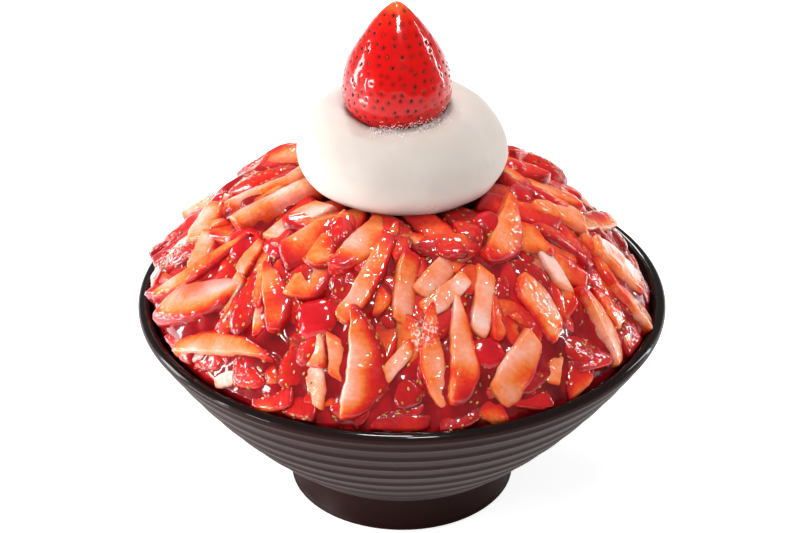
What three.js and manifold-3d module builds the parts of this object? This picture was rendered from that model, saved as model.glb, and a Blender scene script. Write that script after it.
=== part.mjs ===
// Strawberry bingsu in its bowl: a dark ridged stoneware bowl on a foot, a heap of shaved ice
// covered with cut strawberries in syrup, one scoop of soft ice cream, and a whole strawberry on it.
// Millimetres, +Z up, origin on the bowl's axis at the plane that it stands on. -Y is the front.
import * as THREE from 'three';
import { mergeVertices } from 'three/addons/utils/BufferGeometryUtils.js';
import Module from 'manifold-3d';

const wasm = await Module();
wasm.setup();

// ---- driving dimensions ----
const GAP = 0.3; // between pieces that rest on each other
const BOWL_SIDES = 40;
const HEAP_SIDES = 20; // half the bowl's, so that the heap's corners lie behind the bowl's

const RIM_RADIUS = 95;
const RIM_HEIGHT = 78;
const WALL = 3.8;
const LIP_THICKNESS = 4.6; // the lip stands a little proud of the wall below it
const FOOT_HEIGHT = 11;
const FOOT_TOP_RADIUS = 38;
const FOOT_BOTTOM_RADIUS = 41.6;
const FOOT_RING_WIDTH = 4.5;
const FOOT_RECESS = 1.8;
const FOOT_EDGE = 0.6; // the small chamfer round the foot
const FLOOR_FALL = 0.5; // how far the inside falls from the wall's start to its middle
const BELLY = [69.8, 35]; // radius and height that the bowl's outer curve bends towards
const RIDGE_COUNT = 8;
const RIDGE_PITCH = 7.3; // in height, from one ridge to the next
const RIDGE_TOP = 70.2; // height of the highest ridge
const RIDGE_WIDTH = 2.2;
const RIDGE_DEPTH = 0.7;
const WALL_STATIONS = [1, 0.82, 0.62, 0.4, 0.2, 0]; // shares of the wall's curve, from the lip down

const MOUND_RADIUS = 90;
const MOUND_EDGE_HEIGHT = 77;
const MOUND_RISE = 49.5;
const MOUND_POWER = 2.85;
const MOUND_LEFT_SWELL = 9; // the heap is fuller at its left edge
const MOUND_SWELL_POWER = 5;
const CORE_RADIUS = 89;
const CORE_RINGS = 6;
const FRUIT_DEPTH = 5; // from the tops of the fruit down to the core
const FRUIT_BITE = 0.8; // how far a piece of fruit reaches into the core

const CREAM_RADIUS = 36.3;
const CREAM_WAIST = 134.5; // height where the scoop is widest
const CREAM_BELOW = 15.9; // from the waist down to its underside
const CREAM_ABOVE = 21; // from the waist up to where its top would be without the dimple
const CREAM_ROUNDNESS = 0.7;
const CREAM_CREST_RADIUS = 26; // the shallow dish round the berry ends here
const CREAM_DIMPLE_RADIUS = 10; // and is deepest from here inwards
const CREAM_DIMPLE_DEPTH = 7;
const CREAM_TILT = 0.08; // its top rises towards the back
const CREAM_OVAL = { amount: 0.01, turn: 0.6 }; // how far it is out of round
const CREAM_TREFOIL = { amount: 0.006, turn: 2 };
const CREAM_SIDES = 30;
const CREAM_STATIONS = [1, 0.99, 0.95, 0.88, 0.78, 0.66, 0.57, 0.48, 0.38, 0.2, 0]; // shares of its radius

const BERRY_BASE = 142.4;
const BERRY_TIP = 190.2;
const BERRY_RADIUS = 22.9; // before its taper and its rounded ends narrow it
const BERRY_TAPER = 0.62; // how much it narrows from the base to the tip
const BERRY_BASE_POWER = 4.2; // how full the rounding is at the base
const BERRY_TIP_POWER = 3; // and at the tip
const BERRY_CENTRE = [-1.8, 0];
const BERRY_COLUMNS = 24;
const BERRY_ROWS = 20;
const SEED_PIT = 0.6;
const SEAT_ROWS = 14; // of the hollow that the berry stands in

const COLOURS = {
  bowl: '#453838',
  fruit_heap: '#d0342c',
  ice_cream: '#f5f3f0',
  strawberry: '#d0140e',
};

// ---- joining and cutting ----
function solidFrom(geometry) {
  const bare = geometry.clone();
  bare.deleteAttribute('normal');
  bare.deleteAttribute('uv');
  const closed = mergeVertices(bare, 1e-4);
  const vertProperties = new Float32Array(closed.attributes.position.array);
  const triVerts = new Uint32Array(closed.index.array);
  return new wasm.Manifold(new wasm.Mesh({ numProp: 3, vertProperties, triVerts }));
}

function geometryFrom(solid) {
  const { vertProperties, triVerts, numProp } = solid.getMesh();
  const positions = new Float32Array((vertProperties.length / numProp) * 3);
  for (let i = 0; i < positions.length / 3; i += 1) {
    positions.set(vertProperties.subarray(i * numProp, i * numProp + 3), i * 3);
  }
  const geometry = new THREE.BufferGeometry();
  geometry.setAttribute('position', new THREE.BufferAttribute(positions, 3));
  geometry.setIndex(new THREE.BufferAttribute(new Uint32Array(triVerts), 1));
  geometry.computeVertexNormals();
  return geometry;
}

function largestPiece(solid) {
  const pieces = solid.decompose();
  return pieces.reduce((best, piece) => (piece.volume() > best.volume() ? piece : best));
}

// Moves every point of a geometry by a function of its place.
function moulded(geometry, place) {
  const positions = geometry.attributes.position;
  const point = new THREE.Vector3();
  for (let i = 0; i < positions.count; i += 1) {
    point.fromBufferAttribute(positions, i);
    place(point, i);
    positions.setXYZ(i, point.x, point.y, point.z);
  }
  return geometry;
}

// Turns a closed profile of [radius, height] points about the upright axis.
function turned(profile, sides) {
  const points = profile.map(([radius, height]) => new THREE.Vector2(radius, height));
  return new THREE.LatheGeometry(points, sides).rotateX(Math.PI / 2);
}

// ---- bowl ----
const lipRadius = LIP_THICKNESS / 2;
const lipCentre = new THREE.Vector2(RIM_RADIUS - lipRadius, RIM_HEIGHT - lipRadius);
const wallStart = new THREE.Vector2(FOOT_TOP_RADIUS, FOOT_HEIGHT);
const wallBend = new THREE.Vector2(...BELLY);
const wallSlope = lipCentre.clone().sub(wallBend).normalize();
const wallOutwards = new THREE.Vector2(wallSlope.y, -wallSlope.x);
const wallEnd = lipCentre.clone().addScaledVector(wallOutwards, WALL - lipRadius);
const wallCurve = new THREE.QuadraticBezierCurve(wallStart, wallBend, wallEnd);

// A point of the wall at a share of its curve, moved outwards from its outer face.
function wallPoint(share, outwards) {
  const along = wallCurve.getTangent(share);
  const point = wallCurve.getPoint(share);
  return [point.x + along.y * outwards, point.y - along.x * outwards];
}

function wallShareAt(height) {
  let low = 0;
  let high = 1;
  for (let i = 0; i < 30; i += 1) {
    const middle = (low + high) / 2;
    if (wallCurve.getPoint(middle).y < height) low = middle;
    else high = middle;
  }
  return low;
}

function ridgedWall() {
  const points = [];
  for (let i = RIDGE_COUNT - 1; i >= 0; i -= 1) {
    const height = RIDGE_TOP - i * RIDGE_PITCH;
    const half = RIDGE_WIDTH / 2;
    points.push(wallPoint(wallShareAt(height - half), 0));
    points.push(wallPoint(wallShareAt(height), RIDGE_DEPTH));
    points.push(wallPoint(wallShareAt(height + half), 0));
  }
  return points;
}

// The bowl's inner face from its lip down to the middle of its floor, set in by an extra clearance.
function innerWall(clearance) {
  const points = [];
  for (const share of WALL_STATIONS) {
    points.push(wallPoint(share, -WALL - clearance));
  }
  points.push([0, points.at(-1)[1] - FLOOR_FALL]);
  return points;
}

// The lip's half round, with a point at its widest, its highest and half way between and past them.
function lip() {
  const start = Math.atan2(-wallSlope.x, wallSlope.y);
  return [start, 0, Math.PI / 4, Math.PI / 2, (3 * Math.PI) / 4].map((turn) => (
    [lipCentre.x + lipRadius * Math.cos(turn), lipCentre.y + lipRadius * Math.sin(turn)]));
}

function bowlGeometry() {
  const ringInside = FOOT_BOTTOM_RADIUS - FOOT_RING_WIDTH;
  const foot = [
    [0, FOOT_RECESS],
    [ringInside - FOOT_RECESS, FOOT_RECESS],
    [ringInside, 0],
    [FOOT_BOTTOM_RADIUS - FOOT_EDGE, 0],
    [FOOT_BOTTOM_RADIUS, FOOT_EDGE],
    [FOOT_TOP_RADIUS, FOOT_HEIGHT],
  ];
  return turned([...foot, ...ridgedWall(), ...lip(), ...innerWall(0)], BOWL_SIDES);
}

// ---- the heap's form ----
// The angle round the heap is 0 at the front and grows towards the right.
function leftSwell(distance, angle) {
  const leftness = Math.max(0, -Math.sin(angle)) ** 2;
  return MOUND_LEFT_SWELL * leftness * (distance / MOUND_RADIUS) ** MOUND_SWELL_POWER;
}

// Height of the tops of the fruit at a distance from the axis.
function moundHeight(distance, angle) {
  const fall = (distance / MOUND_RADIUS) ** MOUND_POWER;
  return MOUND_EDGE_HEIGHT + MOUND_RISE * (1 - fall) + leftSwell(distance, angle);
}

function moundSlope(distance, angle) {
  const half = 0.5;
  return Math.atan(moundHeight(distance - half, angle) - moundHeight(distance + half, angle));
}

// The bare core: the bowl's inside below, and the mound's form sunk by the fruit's depth above.
function coreGeometry() {
  const topEdge = moundHeight(CORE_RADIUS, 0) - FRUIT_DEPTH;
  const wall = innerWall(GAP).filter(([, height]) => height < topEdge);
  const top = [];
  for (let i = 0; i <= CORE_RINGS; i += 1) {
    const distance = CORE_RADIUS * Math.sqrt(i / CORE_RINGS);
    top.push([distance, moundHeight(distance, 0) - FRUIT_DEPTH]);
  }
  const core = turned([...wall.reverse(), ...top.reverse()], HEAP_SIDES);
  return moulded(core, (point) => {
    const distance = Math.hypot(point.x, point.y);
    const angle = Math.atan2(point.x, -point.y);
    if (point.z > topEdge - GAP) point.z += leftSwell(distance, angle);
  });
}

// ---- cut fruit ----
// Each kind is a rod of few sides. Its widths run from its uphill end to its downhill end, as shares
// of its full width; its thickness is a share of that too. A flat one lies on a side, not on a corner.
const THINNEST = 0.5; // a piece's depth where its width falls to nothing
const KINDS = {
  wedge: { sides: 4, widths: [0.35, 1, 0.65], thickness: 0.66 },
  baton: { sides: 4, widths: [0.85, 1], thickness: 0.8, flat: true },
  slice: { sides: 4, widths: [0.5, 1, 0.7], thickness: 0.5, flat: true },
  cheek: { sides: 5, widths: [0.5, 1, 0.55], thickness: 0.6 },
  half: { sides: 7, widths: [0.35, 0.85, 1, 0.6], thickness: 0.75 },
};

function rodGeometry(kind, length, width, depth) {
  const { sides, widths, flat } = KINDS[kind];
  const corner = flat ? Math.SQRT2 : 1;
  const turn = flat ? Math.PI / 4 : 0;
  const rod = new THREE.CylinderGeometry(corner, corner, 1, sides, widths.length - 1, false, turn);
  rod.rotateZ(-Math.PI / 2);
  return moulded(rod, (point) => {
    const station = Math.round((point.x + 0.5) * (widths.length - 1));
    const share = widths[widths.length - 1 - station];
    point.x *= -length;
    point.y *= -(width / 2) * share;
    point.z *= (depth / 2) * (THINNEST + (1 - THINNEST) * share);
  });
}

function ballGeometry(width) {
  return new THREE.SphereGeometry(width / 2, 6, 4).rotateX(Math.PI / 2);
}

// Lays a piece with its top at the mound's height plus its lift, deep enough to bite into the core.
// Its length runs downhill, turned by the heading towards the right.
function laidPiece({ kind, angle, distance, heading, length, width, lift }) {
  const around = THREE.MathUtils.degToRad(angle);
  const slope = moundSlope(distance, around);
  const least = FRUIT_DEPTH * Math.cos(slope) + FRUIT_BITE + lift;
  const depth = kind === 'ball' ? width : Math.max(width * KINDS[kind].thickness, least);
  const geometry = kind === 'ball' ? ballGeometry(width) : rodGeometry(kind, length, width, depth);
  const turn = THREE.MathUtils.degToRad(heading);
  const down = new THREE.Vector3(
    Math.sin(around) * Math.cos(slope),
    -Math.cos(around) * Math.cos(slope),
    -Math.sin(slope),
  );
  const across = new THREE.Vector3(Math.cos(around), Math.sin(around), 0);
  const outwards = new THREE.Vector3().crossVectors(down, across);
  const lengthways = down.clone().multiplyScalar(Math.cos(turn));
  lengthways.addScaledVector(across, Math.sin(turn));
  const widthways = new THREE.Vector3().crossVectors(outwards, lengthways);
  const centre = new THREE.Vector3(
    distance * Math.sin(around),
    -distance * Math.cos(around),
    moundHeight(distance, around),
  );
  centre.addScaledVector(outwards, lift - depth / 2);
  const frame = new THREE.Matrix4().makeBasis(lengthways, widthways, outwards).setPosition(centre);
  return geometry.applyMatrix4(frame);
}

// Front and sides, piece by piece: kind, angle from the front, distance from the axis,
// heading off downhill, length, width, and lift over the others.
const PLACED = [
  ['half', -106, 53, 0, 30, 13, 1], ['ball', -104, 69, 0, 8, 8, 1], ['cheek', -92, 54, 2, 22, 10, 0],
  ['slice', -92, 69, 12, 16, 9, 0], ['slice', -100, 77, 5, 14, 9, 0], ['cheek', -98, 84, 30, 14, 10, 0],
  ['wedge', -89, 73, -20, 30, 8, 0], ['baton', -81, 45, -3, 28, 5, 0], ['baton', -68, 43, -8, 26, 6, 0],
  ['baton', -48, 43, -20, 24, 7, 0], ['wedge', -31, 45, -5, 23, 9, 0], ['wedge', -16, 44, -20, 27, 12, 0],
  ['ball', -67, 61, 0, 13, 13, 1], ['baton', -74, 70, 20, 15, 6, 0], ['ball', -53, 53, 0, 11, 11, 1],
  ['cheek', -84, 84, 15, 17, 9, 0], ['wedge', -70, 71, -25, 44, 7, 2], ['wedge', -65, 80, -35, 32, 13, 1],
  ['baton', -54, 72, 15, 14, 5, 0], ['cheek', -48, 72, 25, 24, 10, 0], ['wedge', -41, 72, 30, 17, 6, 0],
  ['wedge', -39, 67, 38, 27, 10, 1], ['wedge', -45, 80, -64, 38, 9, 1], ['cheek', -34, 83, 20, 14, 14, 0],
  ['cheek', -27, 81, 10, 16, 12, 0], ['ball', -25, 69, 0, 16, 16, 1], ['cheek', -35, 60, 30, 13, 11, 0],
  ['cheek', -20, 58, 12, 16, 10, 0], ['baton', -12, 55, -18, 34, 7, 2], ['wedge', -6, 61, -2, 11, 5, 0],
  ['baton', 1, 57, -5, 25, 8, 0], ['baton', -22, 76, 20, 10, 7, 0], ['baton', -16, 76, 12, 13, 8, 0],
  ['baton', -20, 83, 12, 12, 6, 0], ['wedge', -9, 76, 3, 37, 15, 2], ['baton', -1, 76, -40, 14, 5, 0],
  ['cheek', 1, 83, 8, 11, 12, 0], ['wedge', 7, 75, 3, 34, 8, 1], ['baton', 12, 54, -47, 17, 8, 0],
  ['baton', 14, 60, -60, 19, 7, 0], ['cheek', 13, 66, -25, 15, 10, -1], ['baton', 25, 64, -27, 23, 7, 0],
  ['wedge', 16, 75, -15, 36, 10, 2], ['wedge', 28, 69, -24, 17, 6, 0], ['ball', 22, 77, 0, 13, 13, 1],
  ['wedge', 26, 79, -42, 23, 11, 0], ['cheek', 19, 45, 73, 24, 12, 0], ['ball', 44, 42, 0, 11, 11, 1],
  ['wedge', 48, 48, -62, 30, 12, 1], ['cheek', 45, 61, 20, 17, 11, 0], ['baton', 54, 64, -18, 16, 6, 1],
  ['slice', 39, 67, 10, 21, 10, 1], ['cheek', 33, 62, -30, 10, 7, 0], ['wedge', 35, 71, 35, 9, 6, 0],
  ['wedge', 35, 82, -43, 10, 6, 0], ['cheek', 46, 82, 35, 19, 12, 0], ['wedge', 57, 79, -16, 27, 8, 1],
  ['wedge', 62, 81, -15, 26, 7, 0], ['wedge', 71, 81, -4, 23, 10, 1], ['slice', 80, 76, 15, 22, 10, 0],
  ['cheek', 92, 85, -85, 20, 8, 0], ['cheek', 106, 78, -52, 26, 11, 0], ['cheek', 70, 61, 27, 28, 11, 0],
  ['slice', 81, 55, 20, 18, 8, 0], ['slice', 97, 54, -8, 22, 9, 0], ['half', 124, 57, -20, 32, 16, 3],
  ['wedge', 112, 71, -60, 15, 7, 0], ['ball', 108, 43, 0, 9, 9, 0], ['ball', 80, 42, 0, 10, 10, 0],
  ['cheek', 32, 84, -77, 18, 9, 0], ['slice', -17, 85, -87, 13, 7, 0], ['cheek', 3, 85, -75, 13, 8, -1],
  ['cheek', 16, 85, -80, 14, 8, -1], ['cheek', -47, 85, 85, 14, 7, 0], ['baton', -58, 62, 10, 13, 5, 0],
  ['cheek', -57, 83, -35, 26, 11, -1], ['cheek', -33, 86, 70, 22, 9, -1], ['cheek', 52, 73, -10, 17, 12, -1],
  ['cheek', 64, 86, 60, 20, 9, -1], ['slice', 25, 86, 70, 18, 7, 0], ['cheek', -84, 78, -30, 18, 10, 1],
];

// The back: rings of fruit that point downhill, each piece of a drawn kind, size and turn.
const BACK_RINGS = [
  { distance: 43, count: 6 },
  { distance: 56, count: 8 },
  { distance: 69, count: 9 },
  { distance: 81, count: 11 },
];
const BACK_FROM = 128;
const BACK_TO = 250;
const BACK_KINDS = ['wedge', 'baton', 'cheek', 'wedge', 'slice', 'baton', 'wedge', 'ball'];
const BACK_JITTER = 0.6; // share of the space between two pieces
const BACK_WIDTHS = [9, 14];
const BACK_LENGTHS = [18, 30];
const BACK_HEADINGS = [-30, 30];
const BACK_LIFTS = [0, 1.5];

// A repeatable number from 0 to 1 for each whole number.
function draw(number) {
  const wave = Math.sin(number * 12.9898) * 43758.5453;
  return wave - Math.floor(wave);
}

function drawBetween([low, high], number) {
  return low + (high - low) * draw(number);
}

function backPieces() {
  const pieces = [];
  for (const { distance, count } of BACK_RINGS) {
    for (let i = 0; i < count; i += 1) {
      const seed = distance * 31 + i * 7;
      const kind = BACK_KINDS[Math.floor(draw(seed) * BACK_KINDS.length)];
      const place = (i + BACK_JITTER * draw(seed + 1)) / count;
      const angle = BACK_FROM + (BACK_TO - BACK_FROM) * place;
      const width = drawBetween(BACK_WIDTHS, seed + 2);
      const heading = drawBetween(BACK_HEADINGS, seed + 3);
      const length = drawBetween(BACK_LENGTHS, seed + 4);
      const lift = drawBetween(BACK_LIFTS, seed + 5);
      pieces.push([kind, angle, distance, heading, length, width, lift]);
    }
  }
  return pieces;
}

function allFruit() {
  return [...PLACED, ...backPieces()].map(([kind, angle, distance, heading, length, width, lift]) => (
    { kind, angle, distance, heading, length, width, lift }));
}

// The space that the bowl leaves free: up its inner face, out over its lip, and open above.
const LIP_SHOWN = 1; // the fruit stays this far inside the rim
function roomInBowl() {
  const overLip = RIM_HEIGHT + GAP;
  const reach = RIM_RADIUS - LIP_SHOWN;
  const inside = innerWall(GAP).reverse();
  const above = [[inside.at(-1)[0], overLip], [reach, overLip], [reach, BERRY_TIP], [0, BERRY_TIP]];
  return turned([...inside, ...above], BOWL_SIDES);
}

function heapGeometry() {
  const fruit = allFruit().map((piece) => solidFrom(laidPiece(piece)));
  const heaped = wasm.Manifold.union([solidFrom(coreGeometry()), ...fruit]);
  const inBowl = heaped.intersect(solidFrom(roomInBowl()));
  return geometryFrom(largestPiece(inBowl.subtract(solidFrom(scoopGeometry(GAP)))));
}

// ---- ice cream and the berry on it ----
// Height of the scoop's top at a distance from its axis: a round shoulder that falls into a dimple.
function scoopTop(distance, radius) {
  const turn = Math.acos((distance / radius) ** (1 / CREAM_ROUNDNESS));
  const inDimple = 1 - THREE.MathUtils.smoothstep(distance, CREAM_DIMPLE_RADIUS, CREAM_CREST_RADIUS);
  return CREAM_WAIST + CREAM_ABOVE * Math.sin(turn) - CREAM_DIMPLE_DEPTH * inDimple;
}

// The scoop's half profile, from the middle of its underside to the middle of its dimple.
function scoopProfile(grow) {
  const radius = CREAM_RADIUS + grow;
  const points = [[0, CREAM_WAIST - CREAM_BELOW - grow]];
  const stepsBelow = 5;
  for (let i = 1; i < stepsBelow; i += 1) {
    const turn = (Math.PI / 2) * (1 - i / stepsBelow);
    const height = CREAM_WAIST - (CREAM_BELOW + grow) * Math.sin(turn);
    points.push([radius * Math.cos(turn) ** CREAM_ROUNDNESS, height]);
  }
  for (const share of CREAM_STATIONS) {
    points.push([radius * share, scoopTop(radius * share, radius) + grow]);
  }
  return points;
}

// The scoop is a little out of round, and its top rises towards the back.
function scoopGeometry(grow) {
  return moulded(turned(scoopProfile(grow), CREAM_SIDES), (point) => {
    const angle = Math.atan2(point.y, point.x);
    point.z += CREAM_TILT * point.y * Math.max(0, (point.z - CREAM_WAIST) / CREAM_ABOVE);
    const oval = CREAM_OVAL.amount * Math.cos(2 * angle + CREAM_OVAL.turn);
    const trefoil = CREAM_TREFOIL.amount * Math.cos(3 * angle + CREAM_TREFOIL.turn);
    const stretch = 1 + oval + trefoil;
    point.x *= stretch;
    point.y *= stretch;
  });
}

// The berry's radius, from a rise of 0 at its base to 1 at its tip.
function berryRadius(rise) {
  const taper = 1 - BERRY_TAPER * rise ** 2;
  const base = Math.sqrt(1 - (1 - rise) ** BERRY_BASE_POWER);
  const tip = Math.sqrt(1 - rise ** BERRY_TIP_POWER);
  return BERRY_RADIUS * taper * base * tip;
}

// A strawberry standing on its base; the seeds lie in pits at every other crossing of the grid.
function berryGeometry(columns, rows, grow, pit) {
  const height = BERRY_TIP - BERRY_BASE + 2 * grow;
  const ball = new THREE.SphereGeometry(1, columns, rows).rotateX(Math.PI / 2);
  return moulded(ball, (point, index) => {
    const row = Math.floor(index / (columns + 1));
    const column = index % (columns + 1);
    const isSeed = row % 2 === 1 && (column + (row - 1) / 2) % 2 === 0 && row > 2 && row < rows - 3;
    const rise = (1 + Math.cos((Math.PI * row) / rows)) / 2;
    const round = Math.sin((Math.PI * row) / rows);
    const radius = berryRadius(rise) + grow - (isSeed ? pit : 0);
    const spread = row > 0 && row < rows ? radius / round : 0;
    point.x = BERRY_CENTRE[0] + spread * point.x;
    point.y = BERRY_CENTRE[1] + spread * point.y;
    point.z = BERRY_BASE - grow + height * rise;
  });
}

function creamGeometry() {
  const seat = solidFrom(berryGeometry(BERRY_COLUMNS, SEAT_ROWS, GAP, 0));
  return geometryFrom(largestPiece(solidFrom(scoopGeometry(0)).subtract(seat)));
}

// ---- the whole ----
function piece(name, geometry, roughness) {
  const material = new THREE.MeshStandardMaterial({ color: COLOURS[name], roughness, metalness: 0 });
  const mesh = new THREE.Mesh(geometry, material);
  mesh.name = name;
  return mesh;
}

const bingsu = new THREE.Group();
bingsu.add(piece('bowl', bowlGeometry(), 0.35));
bingsu.add(piece('fruit_heap', heapGeometry(), 0.15));
bingsu.add(piece('ice_cream', creamGeometry(), 0.6));
bingsu.add(piece('strawberry', berryGeometry(BERRY_COLUMNS, BERRY_ROWS, 0, SEED_PIT), 0.2));

export default bingsu;
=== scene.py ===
import bpy
import numpy as np
from numpy import (arange, array, clip, concatenate, cos, cross, exp, hypot, linspace, maximum, pi,
                   radians, sin, stack)
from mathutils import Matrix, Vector


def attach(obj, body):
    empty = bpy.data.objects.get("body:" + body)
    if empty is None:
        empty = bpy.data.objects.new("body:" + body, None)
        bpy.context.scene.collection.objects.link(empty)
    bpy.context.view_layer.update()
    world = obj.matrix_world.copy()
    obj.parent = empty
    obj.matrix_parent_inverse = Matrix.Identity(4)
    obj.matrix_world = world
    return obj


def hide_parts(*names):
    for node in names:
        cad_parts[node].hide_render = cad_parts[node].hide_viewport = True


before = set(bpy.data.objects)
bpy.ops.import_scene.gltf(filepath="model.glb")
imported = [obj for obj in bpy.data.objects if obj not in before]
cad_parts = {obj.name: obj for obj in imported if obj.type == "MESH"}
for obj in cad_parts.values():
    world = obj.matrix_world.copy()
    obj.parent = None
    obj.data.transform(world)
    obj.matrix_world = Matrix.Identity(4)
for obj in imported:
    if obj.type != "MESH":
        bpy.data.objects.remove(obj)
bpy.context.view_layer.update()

# Strawberry bingsu in its bowl. Lengths are in millimetres, and become metres when a mesh is made.
# +Z is up, the origin is on the bowl's axis at the plane that it stands on, and -Y is the front.
MM = 0.001

RIM_RADIUS = 95.0
RIM_HEIGHT = 78.0
WALL = 3.8
LIP_RADIUS = 2.3
FOOT_HEIGHT = 11.0
FOOT_TOP_RADIUS = 38.0
FOOT_BOTTOM_RADIUS = 41.6
FOOT_RING_WIDTH = 4.5
FOOT_RECESS = 1.8
BELLY = array([69.8, 35.0])
RIDGE_COUNT = 8
RIDGE_PITCH = 7.3
RIDGE_TOP = 70.2
RIDGE_WIDTH = 2.4
RIDGE_DEPTH = 0.75

MOUND_RADIUS = 90.0
MOUND_EDGE_HEIGHT = 77.0
MOUND_RISE = 49.5
MOUND_POWER = 2.85
MOUND_LEFT_SWELL = 9.0
MOUND_SWELL_POWER = 5
CORE_RADIUS = 89.6
SYRUP_CLEARANCE = 0.3
SYRUP_BELOW_TOPS = 2.4
SYRUP_FULLER = 1.2 # it stands this much higher near the rim
FULLER_FROM, FULLEST_AT = 66, 84 # distances from the axis
FRUIT_CLEARANCE = 0.2
FRUIT_DEPTH = 5.0
FRUIT_BITE = 0.8

CREAM_RADIUS = 36.3
CREAM_WAIST = 134.5
CREAM_BELOW = 15.9
CREAM_ABOVE = 21.0
CREAM_ROUNDNESS = 0.7
CREAM_CREST_RADIUS = 26.5
CREAM_DIMPLE_RADIUS = 10.0
CREAM_DIMPLE_DEPTH = 7.0
CREAM_TILT = 0.08
COLLAR_RADIUS = 16.0
COLLAR_WIDTH = 4.0
COLLAR_HEIGHT = 1.6

BERRY_BASE = 142.4
BERRY_TIP = 190.2
BERRY_RADIUS = 22.9
BERRY_TAPER = 0.62
BERRY_BASE_POWER = 4.2
BERRY_TIP_POWER = 3.0
BERRY_CENTRE = array([-1.8, 0.0])
BERRY_FOOT_RADIUS = 15.6
BERRY_SEED_ROWS = 15
BERRY_SEED_SPACING = 3.8
BERRY_PIT_RADIUS = 0.8
BERRY_PIT_DEPTH = 0.14
BERRY_SEED_SUNK = 0.16

SEED_SIZE = (1.3, 0.8, 0.5) # length, width and thickness
BERRY_SEED_SIZE = (1.25, 0.75, 0.45)
LOOSE_SEEDS = 600


# ---- shared tools ----
def smoothstep(value, low, high):
    """From 0 at low to 1 at high on an S curve: the share's square times three less twice the share."""
    share = clip((value - low) / (high - low), 0, 1)
    return share * share * (3 - 2 * share)


def unit(vectors):
    """Vectors divided by their length."""
    return vectors / maximum(np.linalg.norm(vectors, axis=-1, keepdims=True), 1e-9)


def xyz(x, y, z):
    """Points from their coordinates, each of them an array or a number."""
    return stack(np.broadcast_arrays(x, y, z), axis=-1)


def from_axis(distance, around, height):
    """Points by their distance from the axis, their angle from the front and their height."""
    return xyz(distance * sin(around), -distance * cos(around), height)


def once_round(count):
    """Angles all the way round, as a row."""
    return linspace(0, 2 * pi, count, endpoint=False)[None, :]


def lumps(points, size, seed):
    """Smooth unevenness of about -1 to 1: the sum of sine waves near `size` mm long, in drawn directions."""
    random = np.random.default_rng(seed)
    waves = 9
    directions = unit(random.normal(size=(waves, 3)))
    turns = 2 * pi / (size * random.uniform(0.7, 1.5, waves))
    phases = random.uniform(0, 2 * pi, waves)
    return sin(points @ (directions * turns[:, None]).T + phases).sum(-1) / np.sqrt(waves)


def grid_normals(grid):
    """Outward unit normals of a grid closed round its columns: the cross product of its two slopes."""
    around = np.roll(grid, -1, axis=-2) - np.roll(grid, 1, axis=-2)
    return unit(cross(around, np.gradient(grid, axis=-3)))


def frames_on(surface, along, around, nudge):
    """Directions at places on a surface: lengthways, across and outwards.

    They come from its slopes, the differences between points a nudge to either side.
    """
    lengthways = surface(along + nudge, around) - surface(along - nudge, around)
    outwards = unit(cross(surface(along, around + nudge) - surface(along, around - nudge), lengthways))
    lengthways = unit(lengthways)
    return stack([lengthways, cross(outwards, lengthways), outwards], axis=1)


def pits(grid, centres, radius):
    """How deep in the pit of the nearest centre points are: a bell curve, 1 in its middle."""
    nearest = np.min([np.linalg.norm(grid - centre, axis=-1) for centre in centres], axis=0)
    return exp(-(nearest / radius) ** 2)


def laid_on(points, frames, shapes):
    """Small closed grids moved to points and turned into their frames."""
    return points[:, None, None, :] + np.einsum("nrck,nkj->nrcj", shapes, frames)


def smoothed(heights):
    """Evens out a grid of heights: three times, each becomes the mean of itself and its neighbours."""
    for _ in range(3):
        for axis in (0, 1):
            heights = (np.roll(heights, 1, axis) + heights + np.roll(heights, -1, axis)) / 3
    return heights


def mesh_object(name, points, faces, values):
    """A smooth mesh from points in mm and faces as lists of corner numbers, with values at its points."""
    mesh = bpy.data.meshes.new(name)
    mesh.from_pydata(points * MM, [], faces)
    mesh.shade_smooth()
    for key, value in values.items():
        kind, field = ("FLOAT_VECTOR", "vector") if value.shape[-1] == 3 else ("FLOAT", "value")
        attribute = mesh.attributes.new(key, kind, "POINT")
        attribute.data.foreach_set(field, value.astype(np.float32).ravel())
    piece = bpy.data.objects.new(name, mesh)
    bpy.context.scene.collection.objects.link(piece)
    return piece


def closed_surfaces(name, grids, values):
    """Joins closed surfaces of one layout (surfaces, rows, columns, 3) into one mesh.

    Columns run anticlockwise round each surface, seen from its last row's end. The first and the last row
    are single points, the poles. Values have the same layout, with one number or three for each point.
    """
    count, rows, columns, _ = grids.shape

    def merged(layer):
        body = layer[:, 1:-1].reshape(count, (rows - 2) * columns, -1)
        first, last = [layer[:, end, 0].reshape(count, 1, -1) for end in (0, -1)]
        return concatenate([first, body, last], axis=1)

    points = merged(grids)
    each = points.shape[1]
    # corner numbers row by row; clipping brings the first and the last row to the poles
    here = clip(1 + (arange(rows)[:, None] - 1) * columns + arange(columns), 0, each - 1)
    beside = np.roll(here, -1, axis=1)
    sides = stack([here[1:-2], beside[1:-2], beside[2:-1], here[2:-1]], axis=-1)
    ends = [stack([here[0], beside[1], here[1]], axis=-1),
            stack([here[-2], beside[-2], here[-1]], axis=-1)]
    faces = []
    for corners in (concatenate(ends), sides.reshape(-1, 4)):
        offsets = (arange(count) * each)[:, None, None]
        faces += (corners + offsets).reshape(-1, corners.shape[1]).tolist()
    flat = {key: merged(value) for key, value in values.items()}
    return mesh_object(name, points.reshape(-1, 3), faces, flat)


def lathe(profile, columns):
    """Turns a profile of (radius, height) rows round the upright axis into a grid of (rows, columns, 3)."""
    angles = once_round(columns)
    radius, height = profile[:, :1], profile[:, 1:]
    return xyz(radius * cos(angles), radius * sin(angles), height)


def finish_piece(name, grids, values, material, slot, *nodes):
    """Makes a piece, gives it its finish and its body, and hides the model's parts of the nodes that it
    stands for. The slot is not used.
    """
    piece = closed_surfaces(name, grids, values)
    piece.data.materials.append(material)
    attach(piece, "root")
    if nodes:
        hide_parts(*nodes)


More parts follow.
